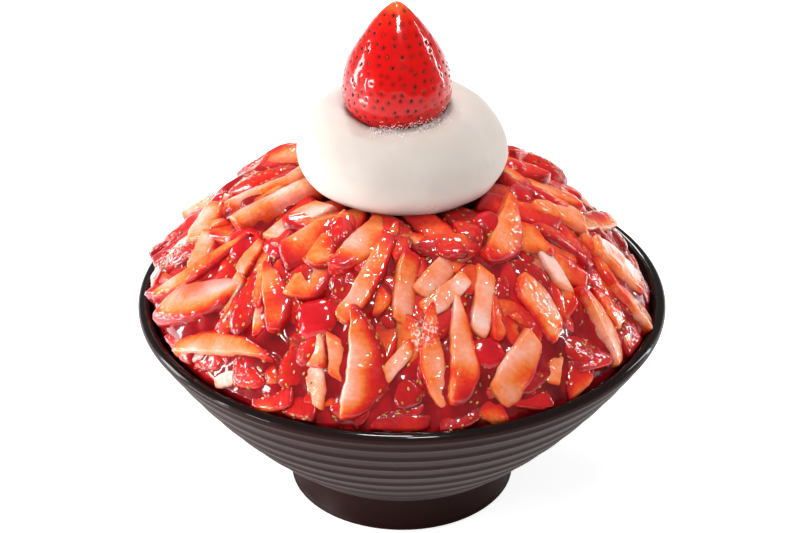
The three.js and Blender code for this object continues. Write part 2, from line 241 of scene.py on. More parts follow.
# ---- materials ----
SYRUP_IOR = 1.45 # a thick sugar syrup
DARKEST_FLESH = 1.5 # flesh runs from 0, the pale core, over 1, the skin, to dark skin in the syrup
# painted light: between these heights the scoop's colour is painted whiter towards its foot, where it lies in
# shade
PAINTED_LIGHT_FROM, PAINTED_LIGHT_FULL_AT = 139, 124 # heights on the scoop's side, downwards
LESS_WET_AT, WET_FROM = 150, 166 # heights on the whole strawberry, upwards


def linear(hex_colour):
    """The linear RGBA of an sRGB hex colour."""
    channels = [int(hex_colour[i:i + 2], 16) / 255 for i in (1, 3, 5)]
    return [c / 12.92 if c <= 0.04045 else ((c + 0.055) / 1.055) ** 2.4 for c in channels] + [1.0]


def fill(node, inputs):
    """Gives each input a value, a link from a socket, or a link from another node's first output."""
    for key, value in inputs.items():
        if isinstance(value, bpy.types.Node):
            value = next(output for output in value.outputs if output.enabled)
        if isinstance(value, bpy.types.NodeSocket):
            node.id_data.links.new(value, node.inputs[key])
        else:
            node.inputs[key].default_value = value


def add(tree, kind, inputs=None, **settings):
    """Adds a shader node with its settings and links."""
    node = tree.nodes.new("ShaderNode" + kind)
    for key, value in settings.items():
        setattr(node, key, value)
    fill(node, inputs or {})
    return node


def paint(ramp, stops):
    """Sets a colour ramp's stops from (place, sRGB hex) pairs."""
    elements = ramp.color_ramp.elements
    for _ in stops[2:]:
        elements.new(0.5)
    for element, (place, colour) in zip(elements, stops):
        element.position = place
        element.color = linear(colour)


def new_material(name):
    """A material, its tree, and its shader, which is linked to its output."""
    material = bpy.data.materials.new(name)
    material.use_nodes = True
    tree = material.node_tree
    tree.nodes.clear()
    shader = add(tree, "BsdfPrincipled")
    add(tree, "OutputMaterial", {"Surface": shader})
    return material, tree, shader


def stoneware_glaze():
    """Thrown stoneware under a dark satin glaze: fine grit and faint clouds outside, glossy black inside.

    The grit is finer than this in truth, and drawn as coarse as it needs to show.
    """
    material, tree, shader = new_material("dark_glazed_stoneware")
    place = add(tree, "TexCoord").outputs["Object"]
    inside = add(tree, "Attribute", attribute_name="inside").outputs["Fac"]
    grit, clouds = [add(tree, "TexNoise", {"Vector": place, "Scale": 1 / (size * MM), "Detail": detail})
                    for size, detail in ((0.9, 3), (22, 2))]
    satin = add(tree, "ValToRGB", {"Fac": clouds})
    paint(satin, [(0.3, "#24100f"), (0.7, "#2b1312")])
    speckled = add(tree, "Mix", {"Factor": grit, 6: satin, 7: linear("#2c1a19")}, data_type="RGBA")
    colour = add(tree, "Mix", {"Factor": inside, 6: speckled, 7: linear("#120b0b")}, data_type="RGBA")
    rough = add(tree, "MapRange", {"Value": inside, "To Min": 0.33, "To Max": 0.16})
    glossy = add(tree, "Math", {0: inside, 1: 0.5}, operation="MULTIPLY")
    bump = add(tree, "Bump", {"Height": grit, "Strength": 0.25, "Distance": 0.12 * MM})
    fill(shader, {
        "Base Color": colour, "Roughness": rough, "IOR": 1.45, "Specular IOR Level": 0.06,
        "Coat Weight": glossy, "Coat Roughness": 0.06, "Coat IOR": 1.5, "Normal": bump})
    return material


def cut_strawberry():
    """Cut strawberry wet with clear syrup: pale core to salmon flesh to red skin, in fibres, under a film.

    The grain is in mm, so that a pattern's scale on it is one over its size: fibres of 1.2 by 8 mm,
    blotches of 7 mm and specks of 1.4 mm. Frost, and glints painted with it, are drawn as coarse as they need
    to show.
    """
    material, tree, shader = new_material("cut_strawberry_in_syrup")
    place = add(tree, "TexCoord").outputs["Object"]
    grain = add(tree, "Attribute", attribute_name="grain").outputs["Vector"]
    # the frost value marks where a pale rime is painted: partly frost, partly painted glints of the syrup
    # film
    flesh, soak, frost = [add(tree, "Attribute", attribute_name=key).outputs["Fac"]
                          for key in ("flesh", "soak", "frost")]
    crystals, film, drops, where = [
        add(tree, "TexNoise", {"Vector": place, "Scale": 1 / (size * MM), "Detail": detail})
        for size, detail in ((0.9, 2), (4, 2), (1.7, 0), (9, 1))]
    film.inputs["Roughness"].default_value = 0.4
    # pale, salmon or red by the flesh value, shifted either way by fibres, blotches and specks
    stretched = add(tree, "Mapping", {"Vector": grain, "Scale": (0.8, 0.12, 0.4)})
    fibres = add(tree, "TexNoise", {"Vector": stretched, "Scale": 1, "Detail": 3, "Roughness": 0.6})
    blotches = add(tree, "TexNoise", {"Vector": grain, "Scale": 0.14, "Detail": 3})
    specks = add(tree, "TexNoise", {"Vector": grain, "Scale": 0.7, "Detail": 2})
    depth = add(tree, "Math", {0: flesh, 1: -0.44})
    for noise, share in ((fibres, 0.24), (blotches, 0.4), (specks, 0.24)):
        depth = add(tree, "Math", {0: noise, 1: share, 2: depth}, operation="MULTIPLY_ADD")
    scaled = add(tree, "Math", {0: depth, 1: 1 / DARKEST_FLESH}, operation="MULTIPLY")
    ramp = add(tree, "ValToRGB", {"Fac": scaled})
    paint(ramp, [(0.0, "#eac2b6"), (0.08, "#ecb09e"), (0.2, "#ea926e"), (0.32, "#e67834"),
                 (0.42, "#e04e18"), (0.53, "#d22416"), (0.68, "#bc1216"), (1.0, "#880c12")])
    # syrup down the sides, then rime where frost has settled, a pale colour that is also painted glints of
    # the wet film
    soaking = add(tree, "Math", {0: soak, 1: 0.75}, operation="MULTIPLY")
    soaked = add(tree, "Mix", {"Factor": soaking, 6: ramp, 7: linear("#bc1016")}, data_type="RGBA")
    rime_and_glint_clumps = add(tree, "Math", {0: frost, 1: 0.3, 2: crystals}, operation="MULTIPLY_ADD")
    rime_and_painted_glints = add(tree, "MapRange", {"Value": rime_and_glint_clumps, "From Min": 0.76, "From Max": 0.9, "To Max": 0.75})
    colour = add(tree, "Mix", {"Factor": rime_and_painted_glints, 6: soaked, 7: linear("#fbdcd6")}, data_type="RGBA")
    coarse = add(tree, "Math", {0: fibres, 1: specks})
    surface = add(tree, "Bump", {"Height": coarse, "Strength": 0.4, "Distance": 0.35 * MM})
    # the film of syrup: long waves, with small drops in patches
    icy = add(tree, "Math", {0: frost, 1: 0.15, 2: where}, operation="MULTIPLY_ADD")
    patch = add(tree, "MapRange", {"Value": icy, "From Min": 0.48, "From Max": 0.62, "To Min": 0.3,
                                   "To Max": 1.6})
    wavy = add(tree, "Math", {0: drops, 1: patch, 2: film}, operation="MULTIPLY_ADD")
    gloss = add(tree, "Bump", {"Height": wavy, "Strength": 0.7, "Distance": 0.55 * MM})
    fill(shader, {
        "Base Color": colour, "Roughness": 0.4, "Specular IOR Level": 0.1, "Subsurface Weight": 0.6,
        "Subsurface Radius": (1, 0.35, 0.2), "Subsurface Scale": 2.4 * MM, "Coat Weight": 1,
        "Coat Roughness": 0.03, "Coat IOR": SYRUP_IOR, "Normal": surface, "Coat Normal": gloss})
    return material


def syrup_jelly(name, colours, film_size):
    """Thick strawberry syrup, set like jelly: clear deep red, very glossy, with a lumpy film."""
    material, tree, shader = new_material(name)
    place = add(tree, "TexCoord").outputs["Object"]
    pulp = add(tree, "TexNoise", {"Vector": place, "Scale": 1 / (9 * MM), "Detail": 4})
    ramp = add(tree, "ValToRGB", {"Fac": pulp})
    paint(ramp, list(zip((0.3, 0.52, 0.72), colours)))
    film = add(tree, "TexNoise", {"Vector": place, "Scale": 1 / (film_size * MM), "Detail": 1,
                                  "Roughness": 0.3})
    bump = add(tree, "Bump", {"Height": film, "Strength": 0.35, "Distance": 0.8 * MM})
    fill(shader, {
        "Base Color": ramp, "Roughness": 0.22, "Specular IOR Level": 0.1, "Subsurface Weight": 0.25,
        "Subsurface Radius": (1, 0.15, 0.1), "Subsurface Scale": 3 * MM, "Coat Weight": 1,
        "Coat Roughness": 0.03, "Coat IOR": SYRUP_IOR, "Normal": bump, "Coat Normal": bump})
    return material


def seed_husk(name, film):
    """Strawberry seeds: tan to dark brown husk under a film of syrup, no two quite alike."""
    material, tree, shader = new_material(name)
    tint = add(tree, "Attribute", attribute_name="tint").outputs["Fac"]
    ramp = add(tree, "ValToRGB", {"Fac": tint})
    paint(ramp, [(0.0, "#2c0c06"), (0.3, "#6e3a14"), (0.6, "#b88638"), (1.0, "#dcb25c")])
    fill(shader, {
        "Base Color": ramp, "Roughness": 0.5, "Specular IOR Level": 0.2, "Coat Weight": film,
        "Coat Roughness": 0.1, "Coat IOR": 1.36})
    return material


def milk_ice_cream():
    """Smooth milk ice cream, scooped: soft light inside, a faint grain of ice, and painted light low on its
    side.

    The ice is finer than this in truth, and drawn as coarse as it needs to show.
    """
    material, tree, shader = new_material("milk_ice_cream")
    place = add(tree, "TexCoord").outputs["Object"]
    grain, folds = [add(tree, "TexNoise", {"Vector": place, "Scale": 1 / (size * MM), "Detail": detail})
                    for size, detail in ((1.4, 3), (14, 2))]
    ramp = add(tree, "ValToRGB", {"Fac": folds})
    paint(ramp, [(0.3, "#c2b8b0"), (0.7, "#c5bcb5")])
    height = add(tree, "SeparateXYZ", {"Vector": place}).outputs["Z"]
    # painted light: whiter towards the foot, standing in for light that the shaded underside lacks
    foot = add(tree, "MapRange", {"Value": height, "From Min": PAINTED_LIGHT_FROM * MM,
                                  "From Max": PAINTED_LIGHT_FULL_AT * MM})
    colour = add(tree, "Mix", {"Factor": foot, 6: ramp, 7: linear("#e0dcd6")}, data_type="RGBA")
    bump = add(tree, "Bump", {"Height": grain, "Strength": 0.25, "Distance": 0.3 * MM})
    fill(shader, {
        "Base Color": colour, "Roughness": 0.5, "IOR": 1.35, "Subsurface Weight": 0.8,
        "Subsurface Radius": (1, 0.85, 0.7), "Subsurface Scale": 6 * MM, "Normal": bump})
    return material


def whole_strawberry_skin():
    """Skin of a ripe strawberry, wet: clear red with an orange tip, and low at the left a cooler red, a
    painted reflection of the ice cream.
    """
    material, tree, shader = new_material("wet_strawberry_skin")
    place = add(tree, "TexCoord").outputs["Object"]
    ripeness_and_painted_reflection, pit, crinkle = [add(tree, "Attribute", attribute_name=key).outputs["Fac"]
                              for key in ("ripeness_and_painted_reflection", "pit", "crinkle")]
    patches, film, wrinkles = [
        add(tree, "TexNoise", {"Vector": place, "Scale": 1 / (size * MM), "Detail": detail})
        for size, detail in ((11, 3), (5, 1), (1.3, 1))]
    shift = add(tree, "Math", {0: patches, 1: 0.3, 2: -0.15}, operation="MULTIPLY_ADD")
    # ripeness, and a painted reflection of the ice cream low at the left, pick the red
    mixed = add(tree, "Math", {0: ripeness_and_painted_reflection, 1: shift})
    ramp = add(tree, "ValToRGB", {"Fac": mixed})
    paint(ramp, [(0.0, "#ec6430"), (0.25, "#da2008"), (0.6, "#c80602"), (1.0, "#b80414")])
    # painted shade: the skin is darkened in each seed's pit, where shade falls
    painted_pit_shade = add(tree, "Math", {0: pit, 1: 0.7}, operation="MULTIPLY")
    colour = add(tree, "Mix", {"Factor": painted_pit_shade, 6: ramp, 7: linear("#6c0402")}, data_type="RGBA")
    height = add(tree, "SeparateXYZ", {"Vector": place}).outputs["Z"]
    wet = add(tree, "MapRange", {"Value": height, "From Min": LESS_WET_AT * MM, "From Max": WET_FROM * MM,
                                 "To Min": 0.4, "To Max": 1})
    folded = add(tree, "Math", {0: wrinkles, 1: crinkle, 2: film}, operation="MULTIPLY_ADD")
    gloss = add(tree, "Bump", {"Height": folded, "Strength": 0.2, "Distance": 0.5 * MM})
    fill(shader, {
        "Base Color": colour, "Roughness": 0.3, "Specular IOR Level": 0.1, "Subsurface Weight": 0.25,
        "Subsurface Radius": (1, 0.2, 0.1), "Subsurface Scale": 2 * MM, "Coat Weight": wet,
        "Coat Roughness": 0.04, "Coat IOR": 1.38, "Coat Normal": gloss})
    return material


def ice_crystal():
    """Grains of frost: clear ice crystals, white where light breaks in them and pink from the syrup."""
    material, _, shader = new_material("frost_crystals")
    fill(shader, {"Base Color": linear("#fff2f0"), "Roughness": 0.2, "IOR": 1.31})
    return material


# ---- the bowl ----
LIP_CENTRE = array([RIM_RADIUS - LIP_RADIUS, RIM_HEIGHT - LIP_RADIUS])


def sideways(slopes):
    """Directions square to a profile's slopes, to the right of its way."""
    return stack([slopes[..., 1], -slopes[..., 0]], axis=-1)


def wall_curve(share):
    """Outer face of the bowl's wall: points and slopes of a quadratic curve bent towards the belly."""
    start = array([FOOT_TOP_RADIUS, FOOT_HEIGHT])
    end = LIP_CENTRE + sideways(unit(LIP_CENTRE - BELLY)) * (WALL - LIP_RADIUS)
    share = np.asarray(share, float)[:, None]
    points = (1 - share) ** 2 * start + 2 * share * (1 - share) * BELLY + share ** 2 * end
    return points, unit(2 * (1 - share) * (BELLY - start) + 2 * share * (end - BELLY))


def inner_wall(share, clearance):
    """The wall's curve set inwards by its thickness and a clearance."""
    points, slopes = wall_curve(share)
    return points - sideways(slopes) * (WALL + clearance)


def bowl_profile():
    """Foot, ridged wall, lip and inner face, from the middle of the underside to the middle of the floor.

    The foot flares with the power 1.4 of the way down. Each ridge is a bell curve in height that stands out
    from the wall. The second value is the row high on the lip round which the glaze turns glossy.
    """
    ring_inside = FOOT_BOTTOM_RADIUS - FOOT_RING_WIDTH
    edge_radius = 0.8
    edge = linspace(-pi / 2, 0, 5)[:, None]
    foot_edge = (array([FOOT_BOTTOM_RADIUS - edge_radius, edge_radius])
                 + edge_radius * np.hstack([cos(edge), sin(edge)]))
    rise = linspace(0.12, 1, 14)[:, None]
    flare = (FOOT_BOTTOM_RADIUS - FOOT_TOP_RADIUS) * (1 - rise) ** 1.4
    foot_side = np.hstack([FOOT_TOP_RADIUS + flare, FOOT_HEIGHT * rise])
    foot = np.vstack([[[0, FOOT_RECESS], [20, FOOT_RECESS], [ring_inside - 1.6, FOOT_RECESS],
                       [ring_inside, 0.2], [ring_inside + 0.5, 0]], foot_edge, foot_side])
    points, slopes = wall_curve(linspace(0.004, 1, 150))
    heights = RIDGE_TOP - RIDGE_PITCH * arange(RIDGE_COUNT)
    spread = exp(-((points[:, 1:] - heights) / (RIDGE_WIDTH / 2)) ** 2).sum(1, keepdims=True)
    wall = points + sideways(slopes) * RIDGE_DEPTH * spread
    turn = linspace(-0.45, pi * 0.85, 22)[:, None]
    lip = LIP_CENTRE + LIP_RADIUS * np.hstack([cos(turn), sin(turn)])
    inside = inner_wall(linspace(0.985, 0, 60), 0)
    floor = [[20, inside[-1, 1] - 0.4], [0, inside[-1, 1] - 0.5]]
    return np.vstack([foot, wall, lip, inside, floor]), len(foot) + len(wall) + 8


def make_bowl():
    """The profile turned, wavering by about a tenth of a millimetre as a thrown bowl does."""
    profile, glossy_row = bowl_profile()
    grid = lathe(profile, 256)
    angles = np.arctan2(grid[..., 1], grid[..., 0])
    waver = 1 + 0.0008 * cos(2 * angles + 1) + 0.0005 * cos(5 * angles + grid[..., 2] / 20)
    grid[..., :2] *= waver[..., None]
    rows = arange(len(profile))[:, None] + 0 * angles
    inside = smoothstep(rows, glossy_row - 6, glossy_row + 4)
    finish_piece("bowl_ridged", grid[None], {"inside": inside[None]}, stoneware_glaze(), "bowl", "bowl")


# ---- the heap ----
def left_swell(distance, angle):
    """What the heap gains at the left: the square of the angle's sine, times a power of the distance."""
    leftness = maximum(0, -sin(angle)) ** 2
    return MOUND_LEFT_SWELL * leftness * (distance / MOUND_RADIUS) ** MOUND_SWELL_POWER


def mound_height(distance, angle):
    """Height of the tops of the fruit; the angle is 0 at the front and grows towards the right.

    It falls with a power of the distance from the axis, and swells towards the rim at the left.
    """
    fall = (distance / MOUND_RADIUS) ** MOUND_POWER
    return MOUND_EDGE_HEIGHT + MOUND_RISE * (1 - fall) + left_swell(distance, angle)


def mound_slope(distance, angle):
    """How steeply the mound falls, as an angle, from its heights half a millimetre to either side."""
    half = 0.5
    return np.arctan(mound_height(distance - half, angle) - mound_height(distance + half, angle))


# Each kind of cut fruit: its widths at the uphill and the downhill end and its thickness as shares of its
# width, how square its section is at the cut side and at the skin side, how blunt its ends are, and how far
# they may be cut askew.
KINDS = {
    "wedge": dict(ends=(0.15, 0.45), thickness=0.66, cut=9, skin=4, blunt=30, skew=0.3),
    "baton": dict(ends=(0.8, 0.9), thickness=0.8, cut=9, skin=7, blunt=40, skew=0.7),
    "slice": dict(ends=(0.55, 0.75), thickness=0.5, cut=9, skin=4, blunt=30, skew=0.6),
    "cheek": dict(ends=(0.3, 0.5), thickness=0.6, cut=3, skin=2.8, blunt=6, skew=0.3),
    "half": dict(ends=(0.5, 0.65), thickness=0.75, cut=2.3, skin=2.2, blunt=3, skew=0),
    "ball": dict(ends=(0.9, 0.9), thickness=1, cut=2.8, skin=2.8, blunt=2.8, skew=0.1),
}
SPREAD = 1.06 # the soft cut fruit settles a little wider than it was cut
SCOOP_FOOT = 49.0 # within this the fruit is heaped up against the scoop
HEAPED_UP = 1.8

# Front and sides, piece by piece: kind, angle from the front, distance from the axis, heading off
# downhill, length, width, and how near the skin the flesh is at its left and at its right edge (0 is the
# pale core, 1 the skin, over 1 dark skin deep in the syrup). Then, if any, its lift, and what that value
# gains from its uphill to its downhill end.
PLACED = [
    ("half", -106, 53, 0, 30, 13, 1.1, 0.9, 1), ("ball", -104, 69, 0, 8, 8, 1, 1, 1),
    ("cheek", -92, 54, 2, 22, 10, 1, 1), ("slice", -89, 69, 60, 18, 11, 0.15, 0.4, 2),
    ("slice", -100, 77, 5, 14, 9, 0.6, 0.9), ("cheek", -98, 84, 30, 14, 10, 0.9, 1.1),
    ("wedge", -89, 73, -20, 30, 8, 0.55, 0.4, 0, -0.1), ("baton", -87, 47, 0, 28, 6, 0.2, 0.45, 0.5),
    ("baton", -73, 46, -12, 31, 9, 0.15, 0.35, 1.5), ("baton", -53, 44, -12, 21, 8, 0.3, 0.1, 0.5),
    ("wedge", -31, 45, -5, 23, 9, 0.35, 0.95), ("wedge", -16, 44, -20, 27, 12, 0.35, 0.4, 0, 0.1),
    ("ball", -67, 61, 0, 14, 13, 1, 1, 1.5), ("baton", -77, 72, 50, 16, 7, 0.25, 0.4, 1),
    ("ball", -53, 53, 20, 13, 11, 1, 1, 1.5), ("cheek", -84, 84, 15, 17, 9, 1, 1),
    ("wedge", -69, 74, -19, 42, 7, 0.45, 0.6, 2, -0.3), ("slice", -61, 79.5, -46, 29, 16, 0, 0.85, 2.8, 0.1),
    ("baton", -54, 72, 15, 14, 5, 0.2, 0.3), ("cheek", -48, 72, 25, 24, 10, 1, 1),
    ("wedge", -41, 72, 30, 17, 6, 0.35, 0.5, 0, 0.1), ("wedge", -39, 67, 38, 27, 10, 0.5, 0.85, 1),
    ("wedge", -46, 83, -68, 40, 9, 0.6, 0.35, 1.5, -0.2), ("cheek", -34, 83, 20, 14, 14, 1, 0.75),
    ("cheek", -27, 81, 10, 16, 12, 1, 1), ("ball", -25, 69, 30, 16, 17, 1, 1, 2),
    ("cheek", -35, 60, 30, 13, 11, 1, 1.05), ("cheek", -20, 58, 12, 16, 10, 1.3, 1.2),
    ("baton", -12, 55, -18, 34, 7, 0.3, 0.45, 2, -0.35), ("wedge", -6, 61, -2, 11, 5, 0.6, 0.65),
    ("baton", 1, 57, -5, 25, 8, 0.35, 0.5, 0, -0.35), ("baton", -22, 76, 20, 12, 7, 0.35, 0.3, 0.5),
    ("baton", -16, 77, 12, 14, 8, 0.35, 0.4, 0.5), ("baton", -20, 83, 12, 14, 7, 0.1, 0.15, 0.5),
    ("wedge", -9, 76, 3, 37, 15, 0.2, 1.1, 2), ("baton", -1, 76, -40, 14, 5, 0.3, 0.35),
    ("cheek", 1, 83, 8, 11, 12, 1.3, 1.3), ("wedge", 7, 75, 3, 34, 8, 0.55, 0.4, 1, -0.5),
    ("baton", 12, 54, -47, 17, 8, 0.25, 0.1), ("baton", 14, 60, -60, 19, 7, 0.3, 0.15),
    ("cheek", 13, 66, -25, 15, 10, 0.7, 1.25, -1.5), ("baton", 25, 64, -27, 23, 7, 0.15, 0.25),
    ("wedge", 16, 75, -15, 36, 10, 0.25, 0.75, 2, 0.4), ("wedge", 28, 69, -24, 17, 6, 0.5, 0.6),
    ("ball", 22, 77, 0, 13, 13, 1, 1, 2), ("slice", 28, 81, -50, 25, 13, 0.2, 0.5, 1.8, 0.1),
    ("cheek", 19, 45, 73, 24, 12, 1.1, 0.6), ("ball", 44, 42, 0, 12, 12, 1, 1, 1.5),
    ("wedge", 48, 48, -62, 30, 12, 0.35, 0.5, 1), ("cheek", 45, 61, 20, 17, 11, 1.35, 1.2),
    ("baton", 54, 64, -18, 16, 6, 0.05, 0.15, 1), ("slice", 41, 70, 10, 22, 12, 0.6, 0.2, 1.5, -0.1),
    ("cheek", 33, 62, -30, 10, 7, 1, 1), ("wedge", 35, 71, 35, 9, 6, 0.6, 0.6),
    ("baton", 38, 84, -40, 10, 5, 0.3, 0.35), ("cheek", 46, 82, 35, 19, 12, 0.95, 1.15),
    ("wedge", 58, 81, -6, 29, 11, 0.3, 0.65, 1.5, -0.25), ("wedge", 65, 82, -8, 24, 8, 0.6, 0.8, 0, -0.25),
    ("wedge", 74, 84, 4, 23, 13, 0.5, 0.6, 1.5), ("slice", 81, 77, 12, 25, 15, 0.35, 0.1, 2, 0.1),
    ("cheek", 92, 85, -85, 20, 8, 0.95, 0.9), ("cheek", 106, 78, -52, 26, 11, 1.05, 1),
    ("cheek", 70, 61, 27, 28, 11, 1.05, 0.7), ("slice", 80, 56, 24, 21, 9, 0.3, 0.15, 1.5),
    ("slice", 97, 54, -8, 22, 9, 0.4, 0.5, 0, 0.1), ("half", 124, 57, -20, 32, 16, 1, 1, 3),
    ("wedge", 112, 71, -60, 15, 7, 0.55, 0.6), ("ball", 108, 43, 0, 9, 9, 1, 1),
    ("cheek", 31, 43, 10, 14, 10, 1, 0.9, 1), ("cheek", -30, 41, 30, 14, 9, 0.9, 1, 1),
    ("ball", 80, 42, 0, 10, 10, 1, 1), ("cheek", 32, 84, -77, 18, 9, 1.1, 1.2),
    ("slice", -17, 85, -87, 13, 7, 0.85, 0.75), ("cheek", 3, 85, -75, 13, 8, 1.2, 1.1, -1),
    ("cheek", 16, 85, -80, 14, 8, 1.1, 1.1, -1), ("cheek", -47, 85, 85, 14, 7, 0.95, 1.1),
    ("baton", -58, 62, 10, 13, 5, 0.4, 0.5), ("cheek", -57, 83, -35, 26, 11, 1.3, 1.2, -1),
    ("cheek", -33, 86, 70, 22, 9, 1.2, 1.1, -1), ("cheek", 52, 73, -10, 17, 12, 1.45, 1.35, -1),
    ("cheek", 64, 86, 60, 20, 9, 1.2, 1.1, -1), ("slice", 25, 86, 70, 18, 7, 0.9, 0.8),
    ("cheek", -84, 78, -30, 18, 10, 1, 1, 1), ("slice", -54, 89, -60, 12, 8, 0, 0.1),
    ("slice", -42, 89, -50, 9, 5, 0, 0.1),
]

# The back, in rings: distance and number of pieces, each of a drawn kind, size and turn.
BACK_RINGS = [(43, 6), (56, 8), (69, 9), (81, 11)]
BACK_FROM, BACK_TO = 128, 250
BACK_KINDS = ["wedge", "baton", "cheek", "wedge", "slice", "baton", "wedge", "ball"]
BACK_JITTER = 0.6


def draw(number):
    """A repeatable number from 0 to 1 for each whole number: the fraction of a large sine."""
    wave = sin(number * 12.9898) * 43758.5453
    return wave - np.floor(wave)


def back_pieces():
    pieces = []
    for distance, count in BACK_RINGS:
        for i in range(count):
            seed = distance * 31 + i * 7
            kind = BACK_KINDS[int(draw(seed) * len(BACK_KINDS))]
            angle = BACK_FROM + (BACK_TO - BACK_FROM) * (i + BACK_JITTER * draw(seed + 1)) / count
            width, heading = 9 + 5 * draw(seed + 2), 60 * (draw(seed + 3) - 0.5)
            length, lift = 18 + 12 * draw(seed + 4), 1.5 * draw(seed + 5)
            left, right = (0.35, 1.0) if draw(seed + 6) > 0.5 else (0.85, 0.3)
            if kind == "cheek":
                left, right = 1.0, 1.0 + 0.3 * draw(seed + 7)
            pieces.append((kind, angle, distance, heading, length, width, left, right, lift))
    return pieces


# The layer below, in close rings; by the rim the fruit lies in darker syrup.
UNDER_RINGS = arange(36, 90, 8.6)
UNDER_SPACING = 14.5
DARK_FROM = 78.0
AT_THE_WALL = 84.0 # small cuts lie along the bowl's wall


def under_pieces():
    """The layer below: cut fruit of the same size in close rings, sunk a little deeper in the syrup."""
    random = np.random.default_rng(5)
    pieces = []
    for distance in UNDER_RINGS:
        count = int(2 * pi * distance / UNDER_SPACING)
        for i in range(count):
            angle = 360 * (i + random.uniform(0, 0.8)) / count - 180
            kind = str(random.choice(["cheek", "wedge", "wedge", "baton", "slice"]))
            length, width, heading = random.uniform(20, 32), random.uniform(9, 14), random.uniform(-50, 50)
            lift = random.uniform(-2.2, -0.2)
            if distance > AT_THE_WALL:
                length, width, heading, lift = 0.6 * length, 0.75 * width, 90 + 0.5 * heading, lift + 1.5
            near, far = random.choice([0.3, 0.55, 0.8]), random.choice([0.6, 0.85, 1.05])
            if kind == "cheek":
                width += 1.5
                near = far = random.choice([0.9, 1.0, 1.15])
            elif distance > DARK_FROM:
                near, far = near + 0.35, far + 0.3
            place = distance + random.uniform(-2, 2)
            pieces.append((kind, angle, place, heading, length, width, near, far, lift))
    return pieces


def laid_frame(kind, angle, distance, heading, width, lift):
    """A laid piece's centre, its lengthways, widthways and outwards directions, and its depth.

    Its top lies at the mound's height plus its lift. Lengthways is downhill, turned to the right.
    """
    around, turn = radians(angle), radians(heading)
    slope = mound_slope(distance, around)
    least = FRUIT_DEPTH * cos(slope) + FRUIT_BITE + lift
    depth = width if kind == "ball" else max(width * KINDS[kind]["thickness"], least)
    down = from_axis(cos(slope), around, -sin(slope))
    across = array([cos(around), sin(around), 0])
    outwards = cross(down, across)
    lengthways = down * cos(turn) + across * sin(turn)
    widthways = cross(outwards, lengthways)
    top = from_axis(distance, around, mound_height(distance, around))
    return top + outwards * (lift - depth / 2), stack([lengthways, widthways, outwards]), depth


SHOWN_GRID = (36, 32) # rows and columns of a piece that shows
SUNK_GRID = (20, 20)
COLUMNS_BELOW = 6 # columns on the side that lies in the syrup

# Places where frost has settled on the fruit, painted pale as frost and as glints: angle, distance from the
# axis, radius.
FROST_AND_GLINT_PLACES = [(6, 70, 8), (-88, 82, 13), (88, 84, 10), (124, 62, 8)]


def cut_form(kind, length, width, depth, skin_side, skew, widest, along, around):
    """A cut piece's surface in its own frame, from a share along it and an angle round it.

    The width falls from its widest place to both ends with the power 1.5 of the way there. A wedge's
    middle is shifted by what its width has lost, so that its cut side stays nearly straight. The section is a
    rounded square: its side and its height, each to the power p, add up to 1, with p `cut` at the core and
    `skin` at the skin. The depth falls by a fifth of what the width does, and `blunt` rounds both ends.
    """
    form = KINDS[kind]
    way = np.where(along < widest, (widest - along) / widest, (along - widest) / (1 - widest))
    end = np.where(along < widest, *form["ends"])
    share = end + (1 - end) * (1 - way ** 1.5)
    rounding = (1 - abs(2 * along - 1) ** form["blunt"]) ** 0.5
    side, up = cos(around), sin(around)
    power = form["cut"] + (form["skin"] - form["cut"]) * smoothstep(side * skin_side, -0.2, 0.6)
    reach = (abs(side) ** power + abs(up) ** power) ** (-1 / power)
    side, up = reach * side, reach * up
    straight = 0.85 if kind == "wedge" else 0
    y = width / 2 * (share * rounding * side + skin_side * straight * (share - 1))
    z = depth / 2 * (0.8 + 0.2 * share) * rounding * up
    x = length * (along - 0.5) + skew * y
    return xyz(x, y, z)


def keep_inside(points):
    """Presses fruit against the bowl: no point lies farther out than the inner face at its height.

    Over the lip this limit leans outwards, 9 mm in 8.
    """
    wall = inner_wall(linspace(0, 1, 40), FRUIT_CLEARANCE)
    reach = np.interp(points[..., 2], [*wall[:, 1], wall[-1, 1] + 8], [*wall[:, 0], wall[-1, 0] + 9])
    far = hypot(points[..., 0], points[..., 1])
    shrink = np.minimum(1, reach / maximum(far, 1e-6))
    return points * xyz(shrink, shrink, 1)


SEED_SPACING = 4.1
SKIN_FROM = 0.85 # flesh values above this are skin, with seeds on it


def seeds_on(kind, length, width, left, right, random):
    """Places of a piece's seeds as (share along, angle round): staggered rows on its skin, a little off."""
    if kind in ("cheek", "half"):
        low, high = radians(20 if right > SKIN_FROM else 80), radians(160 if left > SKIN_FROM else 100)
        across = max(1, int(width * 1.25 * (high - low) / pi / SEED_SPACING * 1.3))
    elif max(left, right) > SKIN_FROM:
        low, high = radians((28, 62) if right > left else (118, 152))
        across = 2
    else:
        return np.zeros((0, 2))
    count = max(2, int(length / SEED_SPACING))
    row, column = np.meshgrid(arange(count), arange(across), indexing="ij")
    along = (row + 0.5 + 0.25 * random.uniform(-1, 1, row.shape)) / count
    around = low + (high - low) * (column + 0.5 + 0.5 * (row % 2 - 0.5)
                                   + 0.25 * random.uniform(-1, 1, row.shape)) / across
    return stack([along.ravel() * 0.86 + 0.07, around.ravel()], axis=-1)


TOPS_CELL = 1.25
TOPS_CELLS = 160


def over_mound(points):
    """How far points stand over the mound's smooth form."""
    around = np.arctan2(points[..., 0], -points[..., 1])
    return points[..., 2] - mound_height(hypot(points[..., 0], points[..., 1]), around)


def fruit_tops(points):
    """The highest fruit over the mound in each cell of a square grid, smoothed over a few mm."""
    tops = np.full((TOPS_CELLS, TOPS_CELLS), -FRUIT_DEPTH)
    cell = clip((points[:, :2] / TOPS_CELL + TOPS_CELLS / 2).astype(int), 0, TOPS_CELLS - 1)
    maximum.at(tops, (cell[:, 0], cell[:, 1]), over_mound(points))
    return smoothed(tops)


